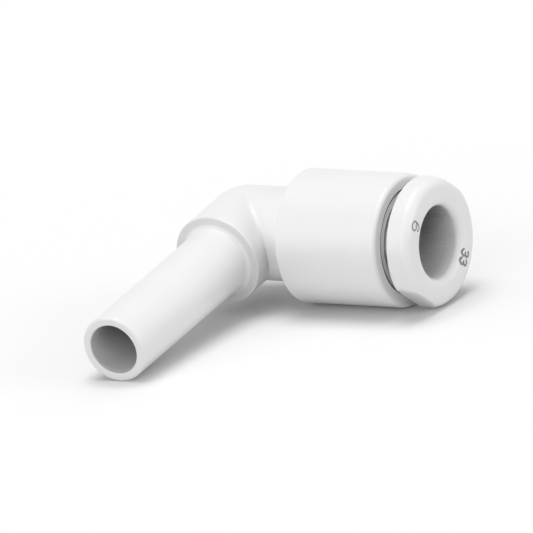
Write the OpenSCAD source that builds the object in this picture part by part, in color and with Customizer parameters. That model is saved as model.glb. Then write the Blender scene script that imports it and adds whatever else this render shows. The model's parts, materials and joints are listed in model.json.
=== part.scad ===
// Push-in elbow: a plug stem at a right angle to a push-in socket, for one size of plastic tube.
// Millimetres. The socket's axis runs along +X. The stem runs along -Y and slopes down by the
// small angle at which the fitting rests: on the socket's barrel and on the tip of the stem.
// The origin is on the surface that it lies on, under the middle of its outline.

/* [Tube] */
// Outside diameter of the tube, and of the stem that plugs in as a tube does
tube_d = 6; // [5.9:0.05:6.1]
// Inside diameter of the tube, and of the passage behind the tube's stop
tube_bore_d = 4; // [3.5:0.1:4.2]
// Distance from the stem's axis to the face that stops the tube
tube_stop_x = 3; // [2.9:0.05:3.4]

/* [Stem] */
// Distance from the socket's axis to the tip of the stem
stem_reach = 23.33; // [18:0.5:30]
// Bore of the stem
stem_bore_d = 4.5; // [4:0.1:4.6]
// Distance from the socket's axis to the flat face where the stem leaves the elbow
collar_y = 5.6; // [5:0.1:8]
// Round on the tip's outer edge
stem_tip_round = 0.25; // [0.1:0.05:0.5]
// Round on the edge of the stem's bore
stem_bore_round = 0.1; // [0.05:0.01:0.2]
// Hollow fillet at the stem's root
stem_root_fillet = 0.5; // [0.2:0.05:0.6]
// How far the stem's bore runs past the socket's axis
stem_bore_past = 2; // [1.5:0.1:2.2]

/* [Elbow] */
// Diameter of both arms of the elbow and of the ball at its corner
arm_d = 8.06; // [7.8:0.1:9]
// Round on the edge of the face that the stem leaves
collar_round = 0.12; // [0.05:0.01:0.3]

/* [Socket] */
// Outside diameter of the socket's barrel
barrel_d = 11.47; // [11.2:0.05:12.5]
// Where the barrel begins, from the stem's axis
barrel_x = 6.05; // [5.8:0.05:6.3]
// Where the barrel's mouth lies, from the stem's axis
mouth_x = 16.05; // [15.9:0.05:16.2]
// Round on the barrel's edge at the elbow
barrel_back_round = 0.15; // [0.1:0.05:0.5]
// Round on the barrel's edge at the mouth
mouth_round = 0.4; // [0.2:0.05:0.6]
// Diameter of the chamber that holds the seal and the grip
chamber_d = 9.2; // [9.1:0.05:9.4]
// Radial clearance round the tube in its seat
seat_clearance = 0.05; // [0.03:0.01:0.08]
// Lead-in that guides the tube from the chamber into its seat
seat_lead = 0.35; // [0.2:0.05:0.5]
// Bevel on the mouth's inner edge and on the guide's outer edge
joint_bevel = 0.1; // [0.05:0.01:0.15]

/* [Seal] */
// Length of the seal
seal_len = 1.95; // [1.7:0.05:2.1]
// Room between the seal and the collet
seal_play = 0.3; // [0.2:0.05:0.4]
// Depth of the groove between the seal's two lips
seal_groove_depth = 1.1; // [0.8:0.1:1.3]
// Width of the groove at its bottom
seal_groove_w = 0.3; // [0.2:0.05:0.5]
// Width of each lip's blunt edge, and of the bevels on the seal's back
seal_edge = 0.2; // [0.1:0.05:0.3]
// Gap between the seal's outer lip and the chamber
seal_wall_gap = 0.02; // [0.01:0.01:0.05]
// Gap between the seal's body and the tube
seal_heel_gap = 0.15; // [0.1:0.05:0.2]
// How far the lip and the teeth reach in past the tube's surface before a tube is pushed in
grip_reach = 0.15; // [0.1:0.01:0.2]

/* [Chuck] */
// Thickness of the chuck's sheet metal
chuck_t = 0.2; // [0.15:0.01:0.25]
// Number of teeth
teeth = 10; // [6:1:12]
// Width of the slot between two teeth
tooth_gap = 0.4; // [0.3:0.05:0.6]
// How far the slots run into the chuck's ring
tooth_root = 0.15; // [0.1:0.05:0.25]
// How far the teeth lean towards the tube's stop
tooth_lean = 0.7; // [0.5:0.05:0.8]

/* [Collet] */
// Length of the collet's head, which holds the chuck
collet_head_len = 2.35; // [2.2:0.05:2.4]
// Whole length of the collet
collet_len = 4.9; // [4.7:0.05:4.95]
// Length of the tapered end that wedges in the guide
taper_len = 1; // [0.8:0.05:1.2]
// How much the taper narrows on the radius
taper_drop = 0.28; // [0.2:0.02:0.32]
// Width of the collet's slits
collet_slit = 0.5; // [0.3:0.05:0.7]

/* [Guide] */
// Wall of the guide ring round the collet
guide_wall = 0.38; // [0.34:0.01:0.42]
// Length of the guide's lip, in which the button's sleeve slides
guide_lip_len = 1.45; // [1.3:0.05:1.6]
// How far the guide's face lies inside the mouth
guide_recess = 0.1; // [0:0.05:0.2]
// Bevel on the guide's inner edge at the mouth
guide_mouth_bevel = 0.4; // [0.2:0.05:0.5]
// Play between the collet's head and the guide
collet_play = 0.1; // [0.05:0.05:0.2]

/* [Release button] */
// Bore of the button, through which the tube goes
button_bore_d = 6.2; // [6.15:0.05:6.3]
// Wall of the button's sleeve
sleeve_wall = 0.4; // [0.36:0.01:0.42]
// Diameter of the button's flange
flange_d = 11.24; // [10.8:0.05:11.4]
// Distance from the axis to each of the flange's two flats
flange_flat = 5.15; // [4.8:0.05:5.4]
// Thickness of the flange
flange_t = 2.05; // [1.8:0.05:2.4]
// Round on the flange's front edge
flange_round = 0.9; // [0.4:0.1:1.1]
// Round on the front edge of each flat
flat_round = 0.2; // [0.1:0.05:0.5]
// Bevel on the flange's back edge
flange_back_bevel = 0.15; // [0.1:0.05:0.3]
// Round on the lip of the bore
lip_round = 0.7; // [0.2:0.05:0.8]
// How far the button can be pushed in
press_travel = 1.1; // [0.9:0.05:1.2]
// Gap left between the flange and the mouth when the button is pushed right in
press_rest_gap = 0.05; // [0.03:0.01:0.1]
// Height of the bead that keeps the button in the collet
bead_h = 0.22; // [0.15:0.01:0.25]
// Width of the slits that let the sleeve's end spring in
sleeve_slit = 0.5; // [0.3:0.05:0.7]

/* [Clearances] */
// Radial gap between pieces that slide or turn in each other
slide_gap = 0.07; // [0.05:0.01:0.08]
// Gap between faces that stop each other
stop_gap = 0.05; // [0.03:0.01:0.08]

/* [Hidden] */
$fn = 96;
past = 1;

// Radii
tube_r = tube_d / 2;
passage_r = tube_bore_d / 2;
stem_bore_r = stem_bore_d / 2;
arm_r = arm_d / 2;
barrel_r = barrel_d / 2;
chamber_r = chamber_d / 2;
seat_r = tube_r + seat_clearance;
lip_r = tube_r - grip_reach;
button_bore_r = button_bore_d / 2;
sleeve_r = button_bore_r + sleeve_wall;
ledge_r = sleeve_r + slide_gap;
bead_r = sleeve_r + bead_h;
recess_r = bead_r + slide_gap;
guide_bore_r = chamber_r - guide_wall;
collet_r = guide_bore_r - slide_gap;
collet_head_r = chamber_r - slide_gap;
chuck_ring_r = (collet_head_r + recess_r) / 2 + chuck_t;
flange_r = flange_d / 2;

// Places along the socket's axis
guide_face = mouth_x - guide_recess;
guide_lip_x = guide_face - guide_lip_len;
collet_end = guide_lip_x - stop_gap;
collet_x = collet_end - collet_len;
seal_x = collet_x - seal_play - seal_len;
chamber_x = seal_x - stop_gap;
collet_head_end = collet_x + collet_head_len;
guide_x = collet_head_end + collet_play;
taper_x = collet_end - taper_len;
chuck_x = collet_x + chuck_t + stop_gap;
flange_x = mouth_x + press_travel + press_rest_gap;
button_face = flange_x + flange_t;
ledge_x = collet_head_end + stop_gap;
// The sleeve's end follows the slope of the teeth, which it reaches when the button is pushed in
tooth_slope = tooth_lean / (recess_r - lip_r);
function tooth_face(r) = chuck_x + chuck_t - tooth_slope * (recess_r - r);
function sleeve_end(r) = tooth_face(r) + stop_gap + press_travel;

// The fitting at rest: the tilt at which the stem's tip is as low as the barrel
tip_y = stem_reach - stem_tip_round;
tip_r = tube_r - stem_tip_round;
tip_drop = barrel_r - stem_tip_round;
tilt = asin(tip_drop / sqrt(tip_y * tip_y + tip_r * tip_r)) - atan2(tip_r, tip_y);
stem_far = tip_y * cos(tilt) + tip_r * sin(tilt) + stem_tip_round;
mid_x = (button_face - arm_r) / 2;
mid_y = (barrel_r - stem_far) / 2;

module at_rest() {
    translate([-mid_x, -mid_y, barrel_r]) rotate([tilt, 0, 0]) children();
}

// What is drawn up along +Z lies along the socket's axis
module along_socket() {
    rotate([0, 90, 0]) children();
}

// What is drawn up along +Z lies along the stem's axis
module along_stem() {
    rotate([90, 0, 0]) children();
}

// A bored disc or tube: inner and outer radius, and where it begins and ends
module tube_between(inner, outer, from, to) {
    rotate_extrude() translate([inner, from]) square([outer - inner, to - from]);
}

// A solid disc, or a cone where the two radii differ
module plug(from, to, r_from, r_to) {
    translate([0, 0, from]) cylinder(h = to - from, r1 = r_from, r2 = r_to);
}

// Half of a shaft's section, with its two edges rounded, for rotate_extrude
module rounded_section(r, from, to, round_from, round_to) {
    difference() {
        translate([0, from]) square([r, to - from]);
        if (round_from > 0) corner_cut(r, from, round_from, 1);
        if (round_to > 0) corner_cut(r, to, round_to, -1);
    }
}

// What a round takes off a section's outer corner; side is 1 at the lower end and -1 at the upper
module corner_cut(r, at, round_r, side) {
    difference() {
        translate([r - round_r, min(at, at + side * round_r)]) square([round_r + past, round_r]);
        translate([r - round_r, at + side * round_r]) circle(r = round_r);
    }
}

// What is cut away to round the lip of a bore of radius r, whose mouth lies at z = at
module rounded_lip(r, at, round_r) {
    rotate_extrude() difference() {
        translate([0, at - round_r]) square([r + round_r, round_r + past]);
        translate([r + round_r, at - round_r]) circle(r = round_r);
    }
}

// Radial slits all round, cut from the end at x = from up to x = to
module slits(count, width, from, to, reach) {
    for (i = [0 : count - 1]) {
        rotate([0, 0, i * 360 / count]) translate([0, -width / 2, from]) cube([reach, width, to - from]);
    }
}

// Elbow body: one moulding of stem, elbow and socket

module stem_shaft() {
    rotate_extrude() {
        rounded_section(tube_r, 0, stem_reach, 0, stem_tip_round);
        difference() {
            translate([0, collar_y]) square([tube_r + stem_root_fillet, stem_root_fillet]);
            translate([tube_r + stem_root_fillet, collar_y + stem_root_fillet]) circle(r = stem_root_fillet);
        }
    }
}

module elbow_outside() {
    sphere(r = arm_r);
    along_stem() {
        rotate_extrude() rounded_section(arm_r, 0, collar_y, 0, collar_round);
        stem_shaft();
    }
    along_socket() {
        cylinder(h = barrel_x + past, r = arm_r);
        rotate_extrude() rounded_section(barrel_r, barrel_x, mouth_x, barrel_back_round, mouth_round);
    }
}

module elbow_inside() {
    along_stem() {
        plug(-stem_bore_past, stem_reach + past, stem_bore_r, stem_bore_r);
        rounded_lip(stem_bore_r, stem_reach, stem_bore_round);
    }
    along_socket() {
        plug(0, tube_stop_x + past, passage_r, passage_r);
        plug(tube_stop_x, chamber_x + past, seat_r, seat_r);
        plug(chamber_x - seat_lead, chamber_x, seat_r, seat_r + seat_lead);
        plug(chamber_x, mouth_x + past, chamber_r, chamber_r);
        plug(mouth_x - joint_bevel, mouth_x + past, chamber_r, chamber_r + joint_bevel + past);
    }
}

module elbow_body() {
    color("whitesmoke") difference() {
        elbow_outside();
        elbow_inside();
    }
}

// Seal: a lip ring whose groove faces the pressure

module seal() {
    outer = chamber_r - seal_wall_gap;
    heel = tube_r + seal_heel_gap;
    groove_in = (outer + lip_r - seal_groove_w) / 2;
    color("dimgray") along_socket() rotate_extrude() translate([0, seal_x]) polygon([
        [lip_r, seal_edge],
        [lip_r + seal_edge, 0],
        [groove_in, seal_groove_depth],
        [groove_in + seal_groove_w, seal_groove_depth],
        [outer - seal_edge, 0],
        [outer, seal_edge],
        [outer, seal_len - seal_edge],
        [outer - seal_edge, seal_len],
        [heel + seal_edge, seal_len],
        [heel, seal_len - seal_edge],
        [heel, seal_groove_depth]
    ]);
}

// Chuck: a stamped ring of sprung teeth

module tooth_cone() {
    rotate_extrude() polygon([
        [recess_r, chuck_x],
        [recess_r, chuck_x + chuck_t],
        [lip_r, tooth_face(lip_r)],
        [lip_r, tooth_face(lip_r) - chuck_t]
    ]);
}

module chuck() {
    color("silver") along_socket() difference() {
        union() {
            tube_between(recess_r, chuck_ring_r, chuck_x, chuck_x + chuck_t);
            tooth_cone();
        }
        slits(teeth, tooth_gap, chuck_x - tooth_lean - past, chuck_x + chuck_t + past, recess_r + tooth_root);
    }
}

// Collet: the head holds the chuck, and the slit end wedges in the guide

module collet_section() {
    difference() {
        union() {
            translate([ledge_r, collet_x]) square([collet_head_r - ledge_r, collet_head_len]);
            polygon([
                [ledge_r, collet_x],
                [collet_r, collet_x],
                [collet_r, taper_x],
                [collet_r - taper_drop, collet_end],
                [ledge_r, collet_end]
            ]);
        }
        translate([0, collet_x - past]) square([recess_r, ledge_x - collet_x + past]);
        translate([0, chuck_x]) square([chuck_ring_r, chuck_t]);
    }
}

module collet() {
    color("ivory") along_socket() difference() {
        rotate_extrude() collet_section();
        slits(4, collet_slit, collet_head_end, collet_end + past, collet_r + past);
    }
}

// Guide ring: pressed into the mouth, it holds the collet in and guides the button

module guide_ring() {
    color("darkgray") along_socket() rotate_extrude() polygon([
        [guide_bore_r, guide_x],
        [chamber_r, guide_x],
        [chamber_r, guide_face - joint_bevel],
        [chamber_r - joint_bevel, guide_face],
        [ledge_r + guide_mouth_bevel, guide_face],
        [ledge_r, guide_face - guide_mouth_bevel],
        [ledge_r, guide_lip_x],
        [guide_bore_r - taper_drop, guide_lip_x],
        [guide_bore_r, taper_x + stop_gap]
    ]);
}

// Release button: the flange to press, and the sleeve whose end spreads the teeth

module flange_round_plate() {
    rotate_extrude() difference() {
        rounded_section(flange_r, flange_x, button_face, flange_back_bevel, flange_round);
        translate([0, flange_x - past]) square([button_bore_r - past, flange_t + 2 * past]);
    }
}

// Everything between the two flats, whose front edges are sharper than the round plate's
module between_flats() {
    rotate([90, 0, -45]) translate([0, 0, -flange_r - past]) linear_extrude(2 * (flange_r + past)) {
        rounded_section(flange_flat, flange_x - past, button_face, 0, flat_round);
        mirror([1, 0]) rounded_section(flange_flat, flange_x - past, button_face, 0, flat_round);
    }
}

module sleeve() {
    difference() {
        rotate_extrude() polygon([
            [button_bore_r, sleeve_end(button_bore_r)],
            [sleeve_r, sleeve_end(sleeve_r)],
            [sleeve_r, ledge_x - stop_gap - 2 * bead_h],
            [bead_r, ledge_x - stop_gap - bead_h],
            [bead_r, ledge_x - stop_gap],
            [sleeve_r, ledge_x - stop_gap],
            [sleeve_r, flange_x + past],
            [button_bore_r, flange_x + past]
        ]);
        slits(4, sleeve_slit, sleeve_end(button_bore_r) - past, collet_end, bead_r + past);
    }
}

module release_button() {
    color("gainsboro") along_socket() difference() {
        union() {
            sleeve();
            intersection() {
                flange_round_plate();
                between_flats();
            }
        }
        plug(flange_x - past, button_face + past, button_bore_r, button_bore_r);
        rounded_lip(button_bore_r, button_face, lip_round);
    }
}

at_rest() elbow_body();
at_rest() seal();
at_rest() collet();
at_rest() chuck();
at_rest() guide_ring();
at_rest() release_button();
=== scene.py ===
# %% [markdown]
# # A push-in elbow for 6 mm tube
# The fitting's shape is finished before this script starts: a plug stem, an elbow and a socket with
# a release button, each piece in its true place and size. What is left is what a camera sees. The
# cells below set the camera, make the plastics, the rubber and the metals, press the numbers into
# the button and light the table that the fitting lies on. Blender works in metres, so a value
# in millimetres is multiplied by MM.

# %% Load the fitting
import json
from math import cos, pi, radians, sin, sqrt

import bmesh
import bpy
from mathutils import Matrix, Vector


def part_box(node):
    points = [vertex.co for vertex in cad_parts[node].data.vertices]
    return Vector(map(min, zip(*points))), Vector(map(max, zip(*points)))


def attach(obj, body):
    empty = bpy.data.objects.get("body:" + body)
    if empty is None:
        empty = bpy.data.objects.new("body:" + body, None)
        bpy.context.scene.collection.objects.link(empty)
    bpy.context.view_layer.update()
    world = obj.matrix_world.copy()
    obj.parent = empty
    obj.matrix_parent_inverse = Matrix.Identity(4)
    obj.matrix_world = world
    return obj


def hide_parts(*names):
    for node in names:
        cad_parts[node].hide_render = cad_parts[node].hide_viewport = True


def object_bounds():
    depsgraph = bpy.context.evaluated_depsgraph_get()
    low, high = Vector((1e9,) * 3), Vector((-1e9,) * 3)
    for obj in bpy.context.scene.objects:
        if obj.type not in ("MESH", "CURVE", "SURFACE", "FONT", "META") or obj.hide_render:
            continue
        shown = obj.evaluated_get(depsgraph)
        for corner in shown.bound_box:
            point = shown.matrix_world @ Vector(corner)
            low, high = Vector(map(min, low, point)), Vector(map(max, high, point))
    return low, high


MM = 0.001
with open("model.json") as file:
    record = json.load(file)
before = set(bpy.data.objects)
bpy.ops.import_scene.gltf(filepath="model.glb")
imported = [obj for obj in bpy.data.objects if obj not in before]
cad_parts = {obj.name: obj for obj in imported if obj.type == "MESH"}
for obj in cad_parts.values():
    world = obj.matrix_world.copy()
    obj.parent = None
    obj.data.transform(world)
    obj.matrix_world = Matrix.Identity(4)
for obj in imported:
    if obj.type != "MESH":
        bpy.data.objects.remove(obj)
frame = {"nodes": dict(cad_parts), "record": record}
nodes = frame["nodes"]
cad_low, cad_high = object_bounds()
print("pieces:", sorted(nodes), "size in mm:", [round(v / MM, 2) for v in cad_high - cad_low])

# %% [markdown]
# ## The camera
# The picture was taken with so long a lens that parallel edges stay parallel. A perspective camera
# could imitate that from far away, but an orthographic one is exact and needs a single number:
# how many millimetres the picture is wide. Its three angles are where it stands round the fitting,
# how high it looks from, and how far it leans over.

# %% Place the camera
PICTURE_WIDTH = 45.287 * MM
CAMERA_ROUND = radians(33.81)
CAMERA_HEIGHT = radians(17.06)
CAMERA_LEAN = radians(-8.02)
SEEN_IN_THE_MIDDLE = Vector((-6.287, 8.668, 2.762)) * MM
CAMERA_AWAY = 300 * MM

turn = (
    Matrix.Rotation(CAMERA_ROUND, 4, "Z")
    @ Matrix.Rotation(pi / 2 - CAMERA_HEIGHT, 4, "X")
    @ Matrix.Rotation(CAMERA_LEAN, 4, "Z")
)
back = turn.to_3x3() @ Vector((0, 0, 1))
camera = bpy.data.objects.new("camera", bpy.data.cameras.new("camera"))
camera.data.type = "ORTHO"
camera.data.ortho_scale = PICTURE_WIDTH
camera.data.clip_start = 10 * MM
camera.data.clip_end = 3000 * MM
camera.matrix_world = Matrix.Translation(SEEN_IN_THE_MIDDLE + back * CAMERA_AWAY) @ turn
bpy.context.scene.collection.objects.link(camera)
bpy.context.scene.camera = camera
bpy.context.scene.view_settings.view_transform = "Standard"
print("the camera looks along", [round(-v, 3) for v in back])

# %% [markdown]
# ## Writing a finish as a formula
# A finish is a small net of nodes, and most of them only add or multiply. Wiring those by hand
# hides what they mean, so this class holds one output socket and lets Python's own signs build
# the Math nodes: `0.4 + 0.1 * grain` is two nodes and reads as what it does. All other nodes come
# from its `node` method, which takes their settings first and then the values of their sockets.

# %% A socket that can be used in a formula
class Wire:
    """One output socket in a material's or the world's nodes."""

    def __init__(self, tree, socket=None):
        self.tree = tree
        self.socket = socket

    def node(self, kind, settings=None, sockets=None, output=0):
        """Adds a node. Settings come first, then each socket gets a value or a link."""
        made = self.tree.nodes.new("ShaderNode" + kind)
        for name, value in (settings or {}).items():
            setattr(made, name, value)
        for name, value in (sockets or {}).items():
            if isinstance(value, Wire):
                self.tree.links.new(value.socket, made.inputs[name])
            else:
                made.inputs[name].default_value = value
        return Wire(self.tree, made.outputs[output] if made.outputs else None)

    def maths(self, operation, *terms):
        return self.node("Math", {"operation": operation}, dict(enumerate(terms)))

    def __add__(self, other):
        return self.maths("ADD", self, other)

    def __sub__(self, other):
        return self.maths("SUBTRACT", self, other)

    def __rsub__(self, other):
        return self.maths("SUBTRACT", other, self)

    def __mul__(self, other):
        return self.maths("MULTIPLY", self, other)

    __radd__ = __add__
    __rmul__ = __mul__

    def between(self, low, high):
        """0 where this is low, 1 where it is high, and held at 0 and 1 beyond them."""
        return self.node("MapRange", {"clamp": True}, {"Value": self, "From Min": low, "From Max": high})

    def mix(self, first, second):
        """The first colour where this mask is 0, and the second where it is 1."""
        return self.node("Mix", {"data_type": "RGBA"}, {0: self, 6: first, 7: second}, output=2)


def grey(level, warmth=0.0):
    """A grey as a colour with alpha; warmth takes a little blue away."""
    return (level, level * (1 - warmth / 3), level * (1 - warmth), 1)


print("a formula such as 1 - mask adds its own nodes")

# %% [markdown]
# ## What every finish shares
# Each finish starts from a Principled shader and from where a point lies on the piece. The place
# is read in object coordinates: they stick to the piece when it moves, and need no unwrapping. They
# are in metres, so a noise that should have one grain in 0.1 mm gets a scale of 1 / (0.1 * MM).

# %% Start a finish
def start_finish(name, **constants):
    """A new material: its Principled shader with its constant values, and the place on the piece."""
    material = bpy.data.materials.new(name)
    material.use_nodes = True
    tree = material.node_tree
    shader = tree.nodes["Principled BSDF"]
    for socket, value in constants.items():
        shader.inputs[socket.replace("_", " ")].default_value = value
    place = Wire(tree).node("TexCoord", output="Object")
    return material, shader, place


def grains(place, size, detail=2.0, roughness=0.5):
    """Noise from 0 to 1 whose grains are about size metres across."""
    sockets = {"Vector": place, "Scale": 1 / size, "Detail": detail, "Roughness": roughness}
    return place.node("TexNoise", {"noise_dimensions": "3D"}, sockets, output="Fac")


def relief(height, depth, **under):
    """The normal of a surface whose relief goes from 0 to depth metres, on top of another if given."""
    return height.node("Bump", {}, {"Height": height, "Distance": depth, **under})


def connect(shader, socket, wire):
    wire.tree.links.new(wire.socket, shader.inputs[socket])


def paint(material, *names):
    """Gives a finish to CAD pieces through their own material slots."""
    for name in names:
        for slot in nodes[name].material_slots:
            slot.material = material
    print(material.name, "is on", ", ".join(names))

# %% [markdown]
# ## White moulded plastic
# The body and the button are moulded from white plastic. The photograph is too small to show its
# skin, so a common one is assumed: the print of a spark-eroded mould, satin, with a grain of about a
# tenth of a millimetre that only shows as a soft edge on each highlight, and with clouds that are
# barely lighter and darker. A photograph of plastic could be pasted on instead, but three noises at
# the right sizes hold at any distance.
#
# A mould has no sharp inner corners, so a Bevel node leans the normals over each edge and crease, as
# a small fillet would. It is widest in the crease where the two arms of the elbow meet. That crease
# lies in a plane, so the distance from the plane tells where it is. The record's two mounts give the
# axes of the arms, and the axes give the elbow's corner and the plane.

# %% Find the elbow's corner
mounts = {mount["name"]: mount for mount in frame["record"]["mounts"]}
socket_at, stem_at = (Vector(mounts[name]["pos_m"]) for name in ("tube_socket", "stem"))
socket_axis, stem_axis = (Vector(mounts[name]["axis"]) for name in ("tube_socket", "stem"))
CORNER = socket_at + socket_axis * (stem_at - socket_at).dot(socket_axis)
MITRE = (socket_axis - stem_axis).normalized()
INWARD = (socket_axis + stem_axis).normalized()


def from_corner(place, direction):
    """How far a point lies from the elbow's corner, measured along a direction."""
    offset = place.node("VectorMath", {"operation": "SUBTRACT"}, {0: place, 1: CORNER})
    along = {"operation": "DOT_PRODUCT"}
    return offset.node("VectorMath", along, {0: offset, 1: direction}, output="Value")


def off_crease(place):
    """How far a point lies from the plane of the crease."""
    return place.maths("ABSOLUTE", from_corner(place, MITRE))


print("the arms meet at, in mm:", [round(v / MM, 2) for v in CORNER])

# %% Round the edges
EDGE_ROUND = 0.1 * MM
CREASE_ROUND, CREASE_REACH = 0.34 * MM, 0.6 * MM
RAYS_PER_POINT = 8


def moulded_edges(place):
    """Normals with a small fillet at each edge and a wide one in the elbow's crease."""
    in_crease = 1 - off_crease(place).between(CREASE_ROUND, CREASE_REACH)
    radius = EDGE_ROUND + (CREASE_ROUND - EDGE_ROUND) * in_crease
    return place.node("Bevel", {"samples": RAYS_PER_POINT}, {"Radius": radius})


print("the fillet in the crease is", round(CREASE_ROUND / EDGE_ROUND, 1), "times that of an edge")

# %% [markdown]
# Two tones on the fitting don't come out of the shape and the lamps alone. The crease holds a thin
# paler line where its small fillet catches light, and the flat shoulder where the elbow steps down to
# the stem lies darker in shade. Nothing is modelled for them: the line is a painted highlight and the
# shoulder's tone is painted shade. The crease holds a thin paler line, perhaps its fillet catching
# light, and the flat shoulder where the elbow steps down to the stem is darker. What causes them
# isn't known, so nothing is modelled for them: both are painted.
# Their masks are made from distances, so they sit where the shape is, at any view.

# %% Mask the crease and the shoulder
LINE_WIDTH = 0.26 * MM
LINE_FROM, LINE_ALL = 2.0 * MM, 3.6 * MM
LINE_FADES, LINE_GONE = 4.4 * MM, 5.5 * MM
SHOULDER_OUT, ARM_RADIUS = 5.6 * MM, 4.03 * MM
SHOULDER_SURE, SHOULDER_EDGE = 0.02 * MM, 0.05 * MM


def crease_highlight(place):
    """1 on the thin line of painted highlight in the crease, which only the inner side of the elbow has.
    """
    inward = from_corner(place, INWARD)
    shown = inward.between(LINE_FROM, LINE_ALL) - inward.between(LINE_FADES, LINE_GONE)
    return (1 - off_crease(place).between(0.3 * LINE_WIDTH, LINE_WIDTH)) * shown


def shoulder(place):
    """1 on the flat face where the elbow steps down to the stem, which gets painted shade."""
    off_face = place.maths("ABSOLUTE", from_corner(place, stem_axis) - SHOULDER_OUT)
    in_arm = 1 - from_corner(place, socket_axis).between(ARM_RADIUS, 1.05 * ARM_RADIUS)
    return (1 - off_face.between(SHOULDER_SURE, SHOULDER_EDGE)) * in_arm


print("the shoulder lies", round(SHOULDER_OUT / MM, 1), "mm from the corner")

# %% [markdown]
# The bores in the photograph are darker than white plastic gets in this light, and their tops darker
# than their floors. That shade is painted too. Ambient Occlusion tells how open a point is, and the
# colour goes down with it. The height of the normal is added to the openness, which makes what faces
# up paler. Open surfaces don't change, but the crease and the shoulder do a little. An exported model
# keeps this shade as it is at rest. The same recipe makes the ivory collet, and the grooves of the
# numbers further down.

# %% Mix the plastics
BORE_DEPTH = 7 * MM
LIGHT_FROM_ABOVE = 0.26
# The pale grey is a painted highlight for the crease, and the darker grey is painted shade for the
# shoulder.
LINE_HIGHLIGHT, SHOULDER_SHADE = grey(0.95), grey(0.75)


def light_reaching(place):
    """A stand-in for the light that reaches a point: its openness, and more where it faces up."""
    local = {"only_local": True, "samples": RAYS_PER_POINT}
    openness = place.node("AmbientOcclusion", local, {"Distance": BORE_DEPTH}, output="AO")
    normal = place.node("NewGeometry", output="Normal")
    return openness + LIGHT_FROM_ABOVE * place.node("SeparateXYZ", {}, {"Vector": normal}, output="Z")


def moulded_plastic(name, colour, shade, depths, dark_and_lit, gloss, grain_size, grain_depth):
    """Satin plastic: cloudy between two close colours, with painted shade in its depths and on the
    shoulder, a painted highlight in the crease, and a mould's grain.
    """
    material, shader, place = start_finish(name, IOR=1.5, Specular_IOR_Level=0.45)
    clouds = grains(place, 3.5 * MM, detail=3)
    patches = grains(place, 0.9 * MM, detail=4, roughness=0.6)
    grain = grains(place, grain_size, detail=3, roughness=0.65)
    skin = (0.7 * clouds + 0.3 * patches).mix(shade, colour)
    # Painted shade on the shoulder.
    skin = shoulder(place).mix(skin, SHOULDER_SHADE)
    # Painted shade in the bores and other shut-in places, paler where the surface faces up.
    shaded = light_reaching(place).between(*dark_and_lit).mix(depths, skin)
    # A painted highlight along the crease.
    connect(shader, "Base Color", crease_highlight(place).mix(shaded, LINE_HIGHLIGHT))
    connect(shader, "Roughness", gloss + 0.05 * clouds + 0.03 * grain)
    connect(shader, "Normal", relief(grain + 0.4 * patches, grain_depth, Normal=moulded_edges(place)))
    return material


body_plastic = moulded_plastic(
    "body_plastic", grey(0.88), grey(0.84), grey(0.22), (0.02, 0.38), 0.27, 0.11 * MM, 0.004 * MM
)
button_plastic = moulded_plastic(
    "button_plastic", grey(0.88), grey(0.84), grey(0.2), (0.25, 0.48), 0.26, 0.08 * MM, 0.003 * MM
)
collet_plastic = moulded_plastic(
    "collet_plastic", grey(0.8, 0.1), grey(0.74, 0.12), grey(0.36, 0.1), (0.04, 0.5),
    0.34, 0.09 * MM, 0.003 * MM
)
paint(body_plastic, "elbow_body")
paint(button_plastic, "release_button")
paint(collet_plastic, "collet")

# %% [markdown]
# ## Rubber for the seal
# The lip seal sits at the bottom of the socket, where only a look down the bore finds it. Nitrile
# rubber is black but never fully: a thin grey bloom lies on it in patches, and dulls it.

# %% Mix the rubber
def bloomed_rubber(name):
    material, shader, place = start_finish(name, IOR=1.52, Specular_IOR_Level=0.4)
    bloom = grains(place, 0.8 * MM, detail=5, roughness=0.7)
    skin = grains(place, 0.06 * MM, detail=2)
    connect(shader, "Base Color", bloom.mix(grey(0.018), grey(0.05)))
    connect(shader, "Roughness", 0.5 + 0.25 * bloom)
    connect(shader, "Normal", relief(skin, 0.004 * MM))
    return material


paint(bloomed_rubber("seal_rubber"), "seal")

# %% [markdown]
# ## Metals that were turned and stamped
# The guide ring is drawn and turned, so its fine lines run round the socket's axis. Such lines
# are noise that changes quickly along the axis and with the distance from it, and not at all
# round it: three numbers worked out from the place, put back into a vector. A dark line of painted
# shade runs round the ring where it meets the plastic, and another round its mouth, where the gap
# under the button lies in shade. The chuck is stamped from sheet, whose rolled surface is smoother
# and has no direction that shows.

# %% Turn and roll the metals
ring_low, ring_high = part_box("guide_ring")
AXIS_Y, AXIS_Z = [(ring_low[i] + ring_high[i]) / 2 for i in (1, 2)]
RING_RADIUS = (ring_high.y - ring_low.y) / 2
MOUTH_RADIUS = 3.97 * MM
SHADE_LINE_WIDTH = 0.13 * MM


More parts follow.
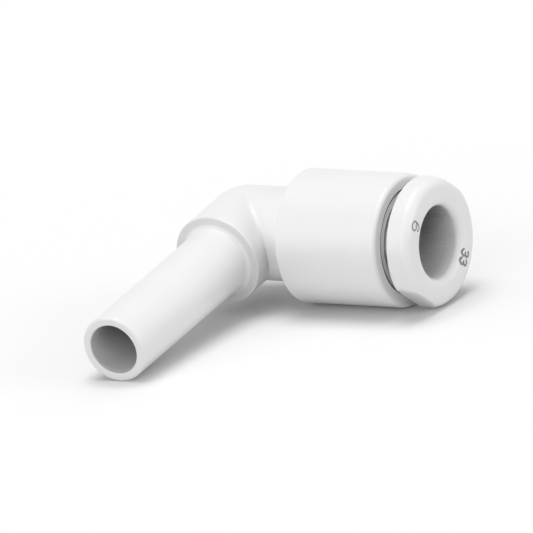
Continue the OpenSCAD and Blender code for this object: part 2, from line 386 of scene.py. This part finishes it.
def turned_metal(name, colour, shade, gap_shade, line_width):
    """Metal with fine lines round the socket's axis, and painted shade as a dark line round its rim and
    its mouth.
    """
    material, shader, place = start_finish(name, Metallic=1.0)
    parts = {axis: place.node("SeparateXYZ", {}, {"Vector": place}, output=axis) for axis in "XYZ"}
    across, up = parts["Y"] - AXIS_Y, parts["Z"] - AXIS_Z
    from_axis = place.maths("SQRT", across * across + up * up)
    rings = place.node("CombineXYZ", {}, {"X": parts["X"], "Y": from_axis})
    lines = grains(rings, line_width, detail=2)
    tarnish = grains(place, 1.4 * MM, detail=4)
    metal = (0.5 * lines + 0.5 * tarnish).mix(shade, colour)
    # Painted shade: a dark line round the ring's rim, where it meets the plastic, and round its mouth.
    rim = from_axis.between(RING_RADIUS - 1.2 * SHADE_LINE_WIDTH, RING_RADIUS - 0.8 * SHADE_LINE_WIDTH)
    mouth = 1 - from_axis.between(MOUTH_RADIUS - 0.4 * SHADE_LINE_WIDTH, MOUTH_RADIUS)
    connect(shader, "Base Color", (rim + mouth).mix(metal, gap_shade))
    connect(shader, "Roughness", 0.46 + 0.12 * lines + 0.1 * tarnish)
    connect(shader, "Normal", relief(lines, 0.0015 * MM))
    return material


def rolled_metal(name, colour, shade):
    material, shader, place = start_finish(name, Metallic=1.0)
    scuffs = grains(place, 0.25 * MM, detail=5, roughness=0.7)
    connect(shader, "Base Color", scuffs.mix(shade, colour))
    connect(shader, "Roughness", 0.18 + 0.16 * scuffs)
    connect(shader, "Normal", relief(scuffs, 0.001 * MM))
    return material


paint(turned_metal("guide_metal", grey(0.74), grey(0.64, 0.01), grey(0.05), 0.05 * MM), "guide_ring")
paint(rolled_metal("spring_steel", grey(0.7, 0.02), grey(0.58, 0.04)), "chuck")

# %% [markdown]
# ## Numbers pressed into the button
# The button's face carries the tube's size, 6. On the other side is a mark that can't be read in the
# photograph, and a plain two-digit number stands in for it. Both are made as shallow grooves. A bump
# map would fake them from one side only, and a font has other digits, so each digit is a path of a
# few points with a smooth curve through them. A round tool is swept along it and cut out of the
# button with a Boolean. The tool's own material stays on the cut, which lets the grooves be darker
# than the face, so that the digits can be read.

# %% Draw the digits
# Points of each stroke in millimetres: to the right and up, from the middle of the digit
SIX = [
    [
        (0.30, 0.66), (0.10, 0.82), (-0.17, 0.77), (-0.36, 0.50), (-0.45, 0.12), (-0.42, -0.17),
        (-0.25, -0.35), (0, -0.39), (0.26, -0.34), (0.42, -0.16), (0.44, 0.08), (0.29, 0.31), (0.02, 0.38),
        (-0.24, 0.31), (-0.39, 0.12),
    ]
]
THREE = [
    [(-0.24, 0.36), (-0.09, 0.48), (0.12, 0.45), (0.22, 0.27), (0.13, 0.08), (-0.05, 0.01)],
    [(0.04, 0.0), (0.20, -0.07), (0.26, -0.26), (0.14, -0.45), (-0.08, -0.49), (-0.26, -0.36)],
]
POINTS_PER_SPAN = 5


def curve_point(before, here, there, after, t):
    """A Catmull-Rom curve between here and there, at t from 0 to 1, for one coordinate."""
    bend = 2 * before - 5 * here + 4 * there - after
    swing = 3 * here - before - 3 * there + after
    return here + 0.5 * (t * (there - before) + t ** 2 * bend + t ** 3 * swing)


def smooth_path(points):
    """A smooth curve through the points, as a list of closer points."""
    held = [points[0], *points, points[-1]]
    path = []
    for span in zip(held, held[1:], held[2:], held[3:]):
        for step in range(POINTS_PER_SPAN):
            path.append([curve_point(*along, step / POINTS_PER_SPAN) for along in zip(*span)])
    return path + [list(points[-1])]


print("the 6 is a path of", len(smooth_path(SIX[0])), "points")

# %% [markdown]
# The digits lie on the flat of the face, and their edges run onto its rounded rim and lip, so every
# point asks how far the face has dropped there. The tool is a row of rings along the path, small
# at the two ends, so that a stroke ends as round as a cutter leaves it.

# %% Sweep the tool
FACE_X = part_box("release_button")[1].x
RIM_STARTS, RIM_ROUND = 4.72 * MM, 0.9 * MM
LIP_STARTS, LIP_ROUND = 3.8 * MM, 0.7 * MM
READING_TURN = radians(-128.145)
RING_SIDES = 12
END_STEPS = 3


def rounded(past, size):
    """How far a rounded edge has dropped at a distance past its start."""
    return size - sqrt(size ** 2 - min(max(0.0, past), size) ** 2)


def face_drop(radius):
    """How far the button's face lies back at a distance from its axis."""
    return rounded(radius - RIM_STARTS, RIM_ROUND) + rounded(LIP_STARTS - radius, LIP_ROUND)


def on_face(right, up):
    """A point of the face from its place in the reading direction, in millimetres."""
    y = right * cos(READING_TURN) - up * sin(READING_TURN)
    z = right * sin(READING_TURN) + up * cos(READING_TURN)
    return Vector((FACE_X - face_drop(sqrt(y * y + z * z) * MM), AXIS_Y + y * MM, AXIS_Z + z * MM))


def sweep(tool, path, centre, width, depth):
    """Adds one stroke of the tool to a bmesh."""
    middle = [on_face(centre[0] + x, centre[1] + y) for x, y in path]
    rings = []
    for i, point in enumerate(middle):
        along = (middle[min(i + 1, len(middle) - 1)] - middle[max(i - 1, 0)]).normalized()
        side = Vector((1, 0, 0)).cross(along).normalized()
        rings.append((point, along, side, 1.0))
    for end, sign in ((0, -1), (-1, 1)):
        point, along, side, _ = rings[end]
        cap = []
        for step in range(1, END_STEPS + 1):
            angle = step / (END_STEPS + 1) * pi / 2
            cap.append((point + along * (sign * sin(angle) * width / 2), along, side, cos(angle)))
        rings = cap[::-1] + rings if sign < 0 else rings + cap
    loops = []
    for point, along, side, share in rings:
        loop = []
        for k in range(RING_SIDES):
            angle = 2 * pi * k / RING_SIDES
            out = Vector((depth * sin(angle), 0, 0)) + side * (width / 2 * cos(angle))
            loop.append(tool.verts.new(point + out * share))
        loops.append(loop)
    for first, second in zip(loops, loops[1:]):
        for k in range(RING_SIDES):
            n = (k + 1) % RING_SIDES
            tool.faces.new((first[k], first[n], second[n], second[k]))
    tool.faces.new(loops[0][::-1])
    tool.faces.new(loops[-1])


def cutter(name, digit, size, centre, width, depth, material):
    """A mesh object of all the strokes of one digit, drawn at a share of its size."""
    tool = bmesh.new()
    for stroke in digit:
        path = [(x * size, y * size) for x, y in smooth_path(stroke)]
        sweep(tool, path, centre, width, depth)
    bmesh.ops.recalc_face_normals(tool, faces=tool.faces)
    mesh = bpy.data.meshes.new(name)
    tool.to_mesh(mesh)
    tool.free()
    mesh.materials.append(material)
    made = bpy.data.objects.new(name, mesh)
    bpy.context.scene.collection.objects.link(made)
    return made


face_points = [*on_face(0, 5), *on_face(0, 3.5)]
print("a point near the rim and one near the lip:", [round(v / MM, 2) for v in face_points])

# %% [markdown]
# The cut is made on a copy of the button. The copy stands for the CAD piece, rides on the same body
# and takes the same finish, so it slides and turns as the button does. A Boolean wants a closed skin
# and can leave slivers behind, so points that lie on each other are welded before and after it.

# %% Make the cutters
# The grooves' darker grey is painted shade, which the cut faces take from the tool.
groove_shadow = moulded_plastic(
    "groove_shade_plastic", grey(0.36), grey(0.27), grey(0.2), (0.04, 0.5), 0.5, 0.08 * MM, 0.003 * MM
)
cutters = [
    cutter("size_number", SIX, 0.87, (0.17, -4.57), 0.13 * MM, 0.08 * MM, groove_shadow),
    cutter("second_number_left", THREE, 1.0, (-0.40, 3.98), 0.22 * MM, 0.11 * MM, groove_shadow),
    cutter("second_number_right", THREE, 1.0, (0.36, 3.98), 0.22 * MM, 0.11 * MM, groove_shadow),
]
print("cutters:", [tool.name for tool in cutters])

# %% Cut the numbers
WELD_WITHIN = 0.0003 * MM
SMOOTH_UP_TO = radians(24)


def weld(mesh):
    """Joins points that lie on each other, and takes away the slivers that this leaves."""
    joined = bmesh.new()
    joined.from_mesh(mesh)
    bmesh.ops.remove_doubles(joined, verts=joined.verts, dist=WELD_WITHIN)
    bmesh.ops.dissolve_degenerate(joined, edges=joined.edges, dist=WELD_WITHIN)
    joined.to_mesh(mesh)
    joined.free()


button = bpy.data.objects.new("button_with_numbers", nodes["release_button"].data.copy())
bpy.context.scene.collection.objects.link(button)
weld(button.data)
for tool in cutters:
    cut = button.modifiers.new(tool.name, "BOOLEAN")
    cut.operation, cut.solver = "DIFFERENCE", "EXACT"
    cut.use_self, cut.material_mode = True, "TRANSFER"
    cut.object = tool
bpy.context.view_layer.update()
cut_mesh = bpy.data.meshes.new_from_object(button.evaluated_get(bpy.context.evaluated_depsgraph_get()))
weld(cut_mesh)
cut_mesh.validate()
button.modifiers.clear()
button.data = cut_mesh
for tool in cutters:
    bpy.data.objects.remove(tool)
cut_mesh.shade_smooth()
cut_mesh.set_sharp_from_angle(angle=SMOOTH_UP_TO)
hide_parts("release_button")
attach(button, "button")
print("the numbered button has", len(cut_mesh.polygons), "faces and", [m.name for m in cut_mesh.materials])

# %% [markdown]
# ## The table
# The fitting lies on a white table that runs out into white. Lighting a floor until it clips would
# burn out the white plastic first. Instead the rays that come straight from the camera see a purer
# white than the light does, and further out they see plain white paper. Near the fitting the table
# keeps its real shade. The photograph's table is darker near the fitting than these lamps make it, so
# some shade is painted on: Ambient Occlusion tells how open each point of the table is, and its
# colour goes down a little where it is shut in.

# %% Lay the table
FLOOR_HALF = 900 * MM
FLOOR_LIT = 0.68
FLOOR_SHUT_IN, FLOOR_OPEN = 0.84, 1.0
SHUT_IN_BELOW = 0.4
SHADE_REACH = 20 * MM
PAPER_FROM, PAPER_ALL = 16 * MM, 55 * MM


def seen_directly(start):
    """1 for rays from the camera, and for those that metal or glass sends on, and 0 for all others."""
    kinds = ("Camera", "Glossy", "Transmission")
    rays = [start.node("LightPath", output=f"Is {kind} Ray") for kind in kinds]
    return start.maths("MAXIMUM", rays[0], start.maths("MAXIMUM", rays[1], rays[2]))


floor = bpy.data.objects.new("floor", bpy.data.meshes.new("floor"))
corners = [(x * FLOOR_HALF, y * FLOOR_HALF, 0) for x, y in ((-1, -1), (1, -1), (1, 1), (-1, 1))]
floor.data.from_pydata(corners, [], [(0, 1, 2, 3)])
bpy.context.scene.collection.objects.link(floor)
white_table = bpy.data.materials.new("white_table")
white_table.use_nodes = True
white_table.node_tree.nodes.clear()
start = Wire(white_table.node_tree)
seen = seen_directly(start)
shade_rays = {"samples": RAYS_PER_POINT}
openness = start.node("AmbientOcclusion", shade_rays, {"Distance": SHADE_REACH}, output="AO")
table_white = openness.between(SHUT_IN_BELOW, 1.0).mix(grey(FLOOR_SHUT_IN), grey(FLOOR_OPEN))
matt = start.node("BsdfDiffuse", {}, {"Color": seen.mix(grey(FLOOR_LIT), table_white)})
paper = start.node("Emission", {}, {"Color": grey(1.0), "Strength": 1.0})
place = start.node("TexCoord", output="Object")
middle = (cad_low + cad_high) / 2
away = start.node("VectorMath", {"operation": "DISTANCE"}, {0: place, 1: middle}, output="Value")
far_out = seen * away.between(PAPER_FROM, PAPER_ALL)
table = start.node("MixShader", {}, {0: far_out, 1: matt, 2: paper})
start.node("OutputMaterial", {}, {"Surface": table})
floor.data.materials.append(white_table)
print("the floor is", 2 * FLOOR_HALF, "m wide")

# %% [markdown]
# ## The light
# A white tent gives a weak light from all round, and the key, a large soft box, hangs straight over
# the fitting: the tops are the brightest, and the shade lies underneath. Three low boxes fill in
# from the sides of the camera, so the upright faces stay pale. All are wide for their distance, so
# no shadow has a hard edge, and far enough away for the table to be lit evenly.
#
# Each box is placed by two angles: how far it has come down from straight overhead, and how far it
# stands round from the camera, to the right. Together they give a white card that lies on the table
# a little more than its own white, so a pale plastic comes out as pale as it is written.

# %% Hang the light
SKY = 0.37
BOX_AWAY = 1200 * MM
BOX_SIZE = 710 * MM

world = bpy.data.worlds.new("tent")
bpy.context.scene.world = world
world.use_nodes = True
world.node_tree.nodes.clear()
start = Wire(world.node_tree)
tent_white = seen_directly(start).mix(grey(SKY), grey(1.0))
tent = start.node("Background", {}, {"Color": tent_white, "Strength": 1.0})
start.node("OutputWorld", {}, {"Surface": tent})


def soft_box(name, down, round_camera, level):
    """A square lamp that looks at the fitting; level is the white that it alone gives a facing card."""
    lamp = bpy.data.objects.new(name, bpy.data.lights.new(name, "AREA"))
    down, turned = radians(down), CAMERA_ROUND + radians(round_camera)
    at = BOX_AWAY * Vector((sin(down) * sin(turned), -sin(down) * cos(turned), cos(down)))
    lamp.data.size = BOX_SIZE
    lamp.data.energy = level * pi * pi * at.length_squared
    lamp.matrix_world = Matrix.Translation(at) @ at.to_track_quat("Z", "Y").to_matrix().to_4x4()
    bpy.context.scene.collection.objects.link(lamp)
    return lamp


soft_box("key_box", 0, 0, 0.54)
soft_box("right_box", 75, 67.5, 0.26)
soft_box("left_box", 75, -67.5, 0.16)
soft_box("front_box", 75, -22.5, 0.21)
